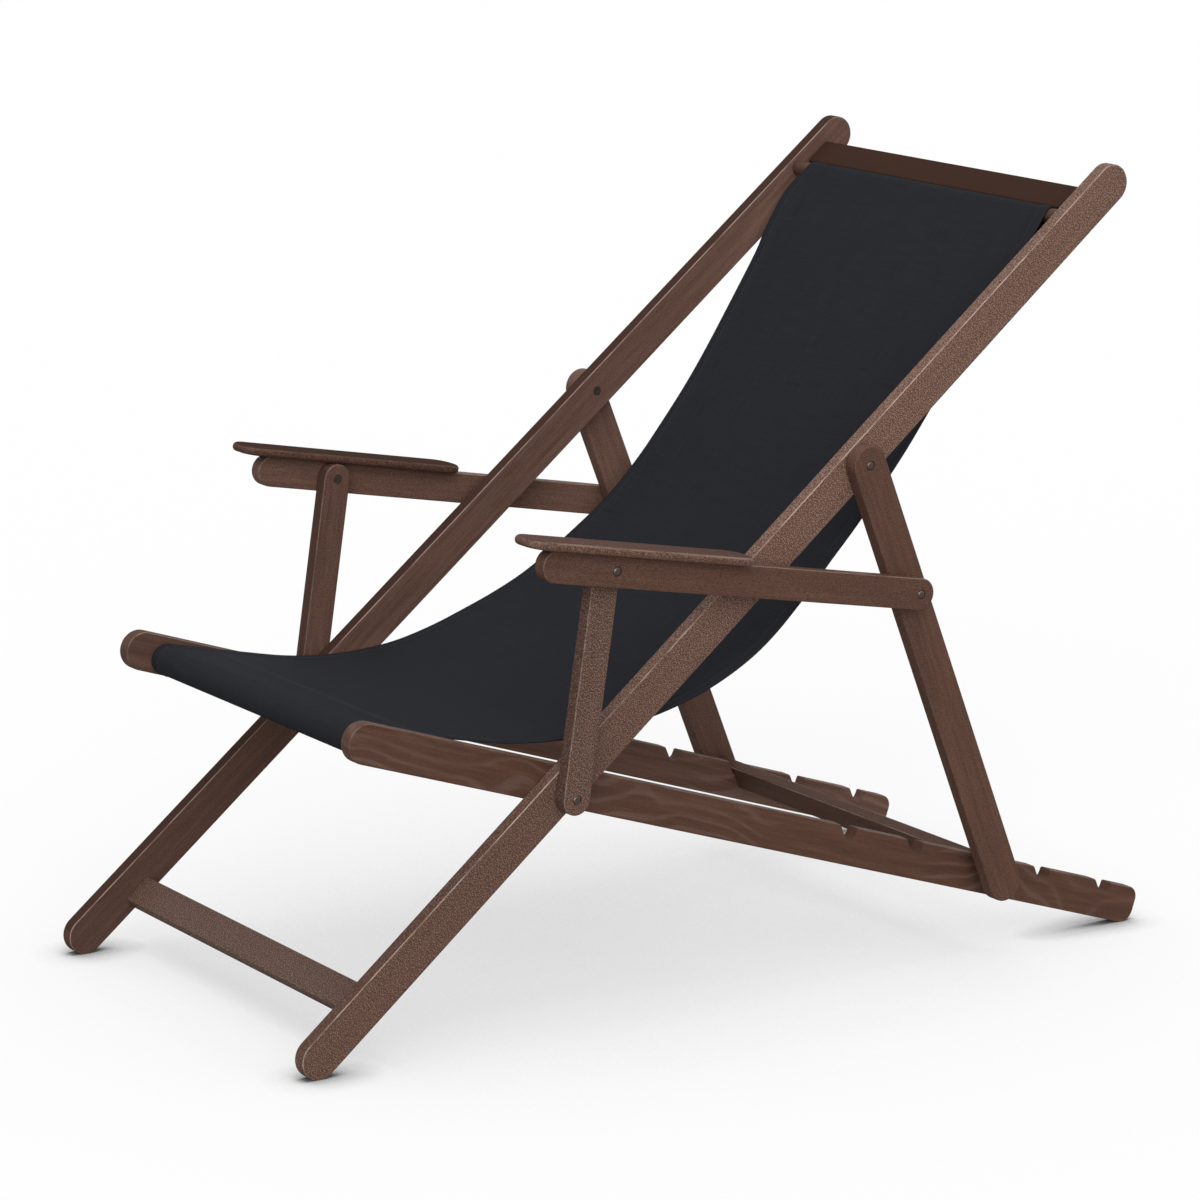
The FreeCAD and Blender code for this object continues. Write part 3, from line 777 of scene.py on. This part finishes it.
# %% One stitch
stitch_length = 0.0024
thread_radius = 0.00026
thread_lift = 0.3 * thread_radius
thread_sides = 6
# Places along a stitch and the share of the thread's radius there
spindle = [(-0.5, 0.35), (-0.3, 0.9), (0.0, 1.0), (0.3, 0.9), (0.5, 0.35)]
thread_points = []
thread_faces = []


def add_stitch(place, way, normal):
    base = len(thread_points)
    sideways = way.cross(normal)
    for step, size in spindle:
        for k in range(thread_sides):
            angle = 2 * math.pi * k / thread_sides
            out = normal * math.sin(angle) + sideways * math.cos(angle)
            thread_points.append(place + way * stitch_length * step + out * thread_radius * size)
    for i in range(len(spindle) - 1):
        near = base + i * thread_sides
        far = near + thread_sides
        for k in range(thread_sides):
            after = (k + 1) % thread_sides
            thread_faces.append((near + k, near + after, far + after, far + k))
    last = base + (len(spindle) - 1) * thread_sides
    thread_faces.append(tuple(base + k for k in reversed(range(thread_sides))))
    thread_faces.append(tuple(last + k for k in range(thread_sides)))


print("a stitch has", len(spindle) * thread_sides, "points")

# %% Stitches along the hems and seams
stitch_pitch = 0.0034
stitch_inset = 0.0125
seam_rows = (0.004, 0.010)


def on_line(run):
    # The point, direction and upper side of the cloth's line at a distance along it
    for i in range(len(travel) - 2):
        if travel[i + 1] >= run:
            break
    way = line[i + 1] - line[i]
    part = (run - travel[i]) / (travel[i + 1] - travel[i])
    way.normalize()
    return line[i] + (line[i + 1] - line[i]) * part, way, Vector((-way.y, way.x))


def stitch_hems():
    run = hem_tail
    while run < travel[-1] - hem_tail:
        spot, way, normal = on_line(run)
        way3 = Vector((0, way.x, way.y))
        normal3 = Vector((0, normal.x, normal.y))
        lift = normal3 * (hem_thick / 2 + thread_lift)
        left, right = both_edges(spot.x)
        for x in (left - stitch_inset, right + stitch_inset):
            for face in (-1, 1):
                add_stitch(Vector((x, spot.x, spot.y)) + lift * face, way3, normal3 * face)
        run += stitch_pitch


def stitch_seam(run, face):
    spot, way, normal = on_line(run)
    normal3 = Vector((0, normal.x, normal.y)) * face
    lift = normal3 * (cloth_thick / 2 + thread_lift)
    left, right = both_edges(spot.x)
    reach = left - right - 2 * hem_width
    count = int(reach / stitch_pitch)
    for i in range(count):
        x = right + hem_width + (i + 0.5) * reach / count
        add_stitch(Vector((x, spot.x, spot.y)) + lift, Vector((1, 0, 0)), normal3)


stitch_hems()
front_top = travel[len(front_loop) - 1]
# A seam's rows lie between the tail and the layer above it, and those of the front loop also on the seat
for row in seam_rows:
    stitch_seam(row, -1)
    stitch_seam(travel[-1] - row, -1)
    stitch_seam(front_top + seam_reach + row, 1)
print("stitches:", len(thread_points) // (len(spindle) * thread_sides))

# %% Stitch mesh
thread_mesh = bpy.data.meshes.new("hem_stitches")
thread_mesh.from_pydata([tuple(point) for point in thread_points], [], thread_faces)
thread_mesh.shade_smooth()
hem_stitches = new_object("hem_stitches", thread_mesh)
print("stitch mesh:", len(thread_points), "points")

# %% [markdown]
# ## Canvas weave
# The canvas is a plain weave of anthracite yarn, each thread going over one and under the next. From the
# camera it is an even matt black-blue, and near to it the threads show. Blender's wave textures give
# stripes, but a weave needs to know which thread is on top, so a checker of thread crossings picks the
# warp or the weft for each little square.

# %% Node group for the weave
slub_across = 1100
slub_along = 18
weave, entry, result = new_group(
    "canvas weave", [("Cloth", "Vector", None), ("Pitch", "Float", 0.0009)],
    [("Height", "Float"), ("Slub", "Float")])
place = parts_of(weave, entry["Cloth"])
warp_count = maths(weave, "DIVIDE", place["X"], entry["Pitch"])
weft_count = maths(weave, "DIVIDE", place["Y"], entry["Pitch"])


def crown(count):
    # The round top of each thread across its width
    return maths(weave, "SINE", times(weave, maths(weave, "FRACT", count), math.pi))


def hill(own, other):
    # A thread's top, which dips to half its height where it goes under
    return times(weave, own, plus(weave, 0.5, times(weave, other, 0.5)))


warp_crown = crown(warp_count)
weft_crown = crown(weft_count)
crossing = plus(weave, maths(weave, "FLOOR", warp_count), maths(weave, "FLOOR", weft_count))
on_top = maths(weave, "PINGPONG", crossing, 1.0)
warp_part = times(weave, hill(warp_crown, weft_crown), on_top)
weft_part = times(weave, hill(weft_crown, warp_crown), one_minus(weave, on_top))
feed(weave, result["Height"], plus(weave, warp_part, weft_part))
warp_slub = noise(weave, stretched(weave, entry["Cloth"], (slub_across, slub_along, 1)), scale=1.0)
weft_slub = noise(weave, stretched(weave, entry["Cloth"], (slub_along, slub_across, 1)), scale=1.0)
feed(weave, result["Slub"], times(weave, plus(weave, warp_slub, weft_slub), 0.5))
print("canvas weave has", len(weave.nodes), "nodes")

# %% Canvas material
yarn_dark = (0.0205, 0.0213, 0.0255, 1)
yarn_pale = (0.0272, 0.0281, 0.0332, 1)
# Colour of the painted shade in the gaps between threads
weave_gap_shade = (0.006, 0.0065, 0.009, 1)
gap_shade_share = 0.35
canvas_roughness = 0.72
slub_roughness = 0.2
canvas_gloss = 0.03
weave_strength = 0.5
weave_depth = 0.00025

canvas, tree, shader = new_paint("anthracite canvas")
cloth_place = add(tree, "UVMap", uv_map="cloth_metres").outputs[0]
woven = place_group(tree, weave, Cloth=cloth_place)
yarn = tint(tree, ramp(tree, woven["Slub"], low=0.35, high=0.65), yarn_dark, yarn_pale)
# The low places of the weave are painted darker: painted shade between the threads
between = times(tree, one_minus(tree, woven["Height"]), gap_shade_share)
feed(tree, shader.inputs["Base Color"], tint(tree, between, yarn, weave_gap_shade))
uneven = times(tree, woven["Slub"], slub_roughness)
feed(tree, shader.inputs["Roughness"], plus(tree, canvas_roughness, uneven))
shader.inputs["Specular IOR Level"].default_value = canvas_gloss
raise_surface(tree, shader, woven["Height"], weave_strength, weave_depth)
sling_mesh.materials.append(canvas)
print("canvas has", len(tree.nodes), "nodes")

# %% Thread material
thread_dark = (0.016, 0.017, 0.021, 1)
thread_pale = (0.034, 0.035, 0.041, 1)
thread_roughness = 0.5
fibre_roughness = 0.25
thread_gloss = 0.3

thread, tree, shader = new_paint("hem thread")
fibre = noise(tree, add(tree, "TexCoord").outputs["Object"], scale=5200)
feed(tree, shader.inputs["Base Color"], tint(tree, fibre, thread_dark, thread_pale))
uneven = times(tree, fibre, fibre_roughness)
feed(tree, shader.inputs["Roughness"], plus(tree, thread_roughness, uneven))
shader.inputs["Specular IOR Level"].default_value = thread_gloss
thread_mesh.materials.append(thread)
print("thread has", len(tree.nodes), "nodes")

# %% [markdown]
# ## The cloth on its frame
# When the back is lifted, the front loop stays with the seat frame and the top loop goes with the long
# rails, and the canvas between them bends. Parenting it to one body would tear it off the other; here the
# cloth and its stitches only have their placement baked into their meshes. The cloth stands for the plain
# solid of the imported model.

for piece in (canvas_sling, hem_stitches):
    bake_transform(piece)
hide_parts("sling")
